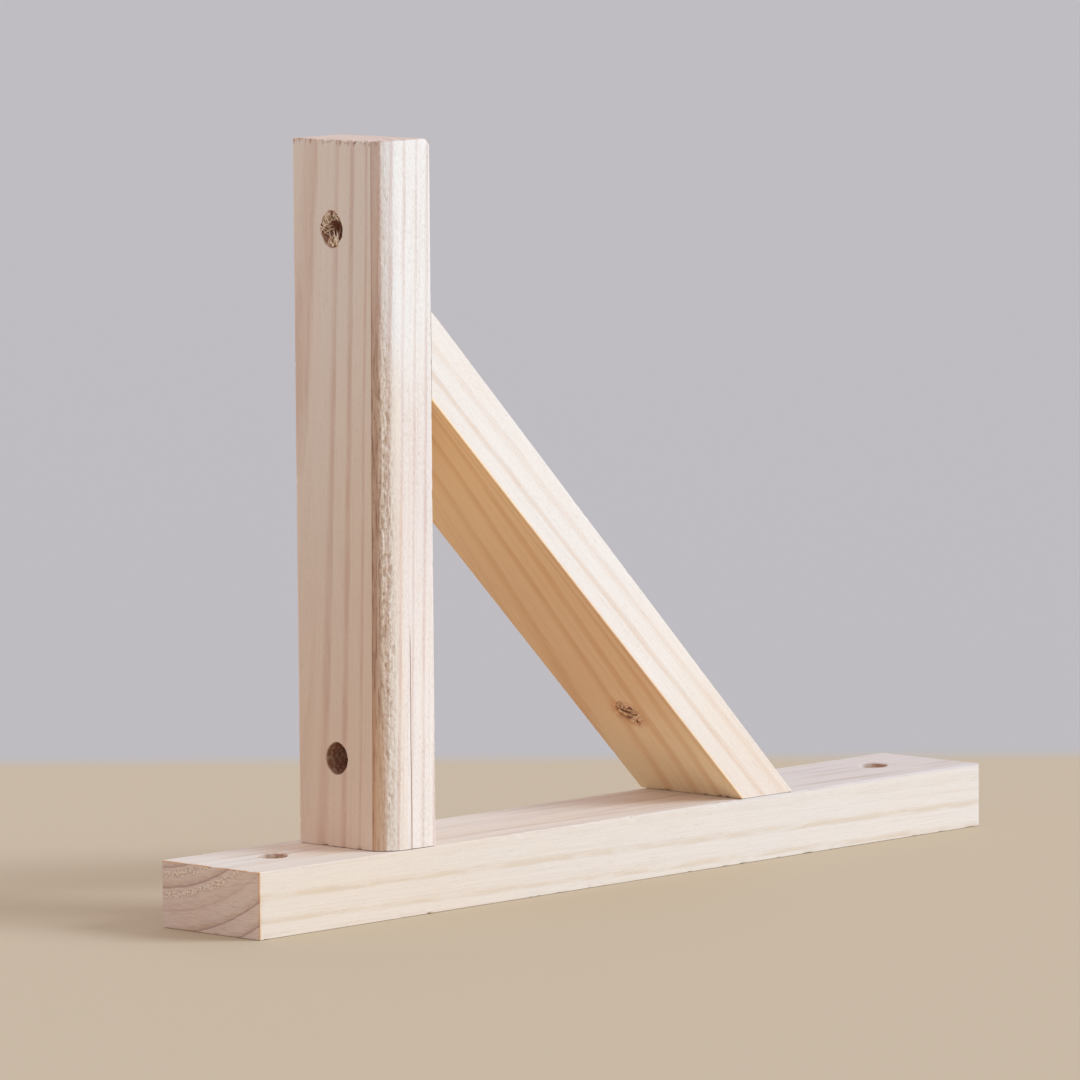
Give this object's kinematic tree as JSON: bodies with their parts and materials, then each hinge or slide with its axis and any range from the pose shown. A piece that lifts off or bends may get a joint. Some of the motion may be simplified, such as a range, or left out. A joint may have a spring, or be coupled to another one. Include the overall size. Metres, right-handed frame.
{
  "type": "wooden lamp bracket",
  "caption": "Triangular softwood bracket: a flat drilled wall plate, a square-set arm drilled near both ends, and a slanting brace between them.",
  "frame": {"origin": "middle of the bracket's footprint, on the wall plate's underside", "axes": "+X along the wall plate, from the arm's end towards the brace's foot; +Y from the flush front face to the back; +Z along the arm, away from the wall plate"},
  "size_m": [0.315, 0.0418, 0.226],
  "materials": {
    "pine_plate": "planed pine, unfinished, with sawn end grain",
    "pine_arm": "planed pine, unfinished, with torn grain along one rounded edge",
    "pine_brace": "planed pine, unfinished, a little warmer than the other battens"
  },
  "bodies": {
    "root": {"wall_plate": "pine_plate", "arm": "pine_arm", "brace": "pine_brace"}
  },
  "joints": []
}
